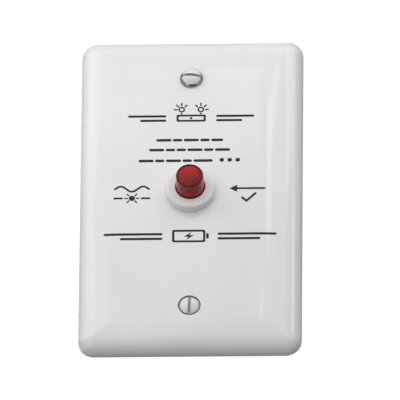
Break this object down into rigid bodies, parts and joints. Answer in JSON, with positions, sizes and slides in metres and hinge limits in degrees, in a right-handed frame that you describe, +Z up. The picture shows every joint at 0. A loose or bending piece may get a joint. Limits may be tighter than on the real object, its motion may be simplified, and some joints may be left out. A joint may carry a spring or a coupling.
{
  "type": "wall plate push-to-test switch",
  "caption": "White single-gang wall plate with slotted screws and a lighted red push-to-test button, its switch, lamp and solder lugs behind the plate.",
  "frame": {"origin": "centre of the plate on the plane of the wall, midway between the two box screws", "axes": "+Z up the wall, +X to the right seen from the room, +Y into the wall, so the face looks along -Y"},
  "size_m": [0.0698, 0.0402, 0.1142],
  "materials": {
    "plate_white": "smooth satin-gloss moulded thermoplastic",
    "bezel_white": "smooth moulded plastic",
    "screw_enamel": "white baked enamel on the head, zinc plated thread",
    "screw_steel": "nickel plated, turned head",
    "zinc_steel": "bright zinc plated",
    "housing_black": "moulded nylon, fine grain",
    "base_brown": "moulded phenolic",
    "lens_red": "translucent, polished",
    "nylon_white": "natural nylon",
    "contact_brass": "stamped strip",
    "contact_silver": "silver alloy",
    "spring_steel": "drawn wire",
    "led_red": "tinted diffused epoxy",
    "tinned_wire": "tinned",
    "tinned_brass": "tinned strip"
  },
  "bodies": {
    "plate": {"wall_plate": "plate_white", "plate_screws": "screw_enamel", "bezel_nut": "bezel_white", "lock_washer": "zinc_steel", "hex_nut": "zinc_steel", "switch_housing": "housing_black", "switch_base": "base_brown", "base_screws": "screw_steel", "return_spring": "spring_steel", "line_terminal": "contact_brass", "load_terminal": "contact_brass", "contact_tips": "contact_silver", "lamp_post": "nylon_white", "led_lamp": "led_red", "led_leads": "tinned_wire", "anode_terminal": "tinned_brass", "cathode_terminal": "tinned_brass", "terminal_pins": "contact_brass"},
    "button": {"lens_cap": "lens_red", "plunger": "nylon_white", "contact_bridge": "contact_brass"}
  },
  "joints": [
    {"name": "button_press", "type": "slide", "parent": "plate", "child": "button", "axis": [0, 1, 0], "range_m": [0, 0.0025], "stiffness_N_per_m": 600, "springref_m": -0.004, "deforming": ["return_spring"]}
  ]
}
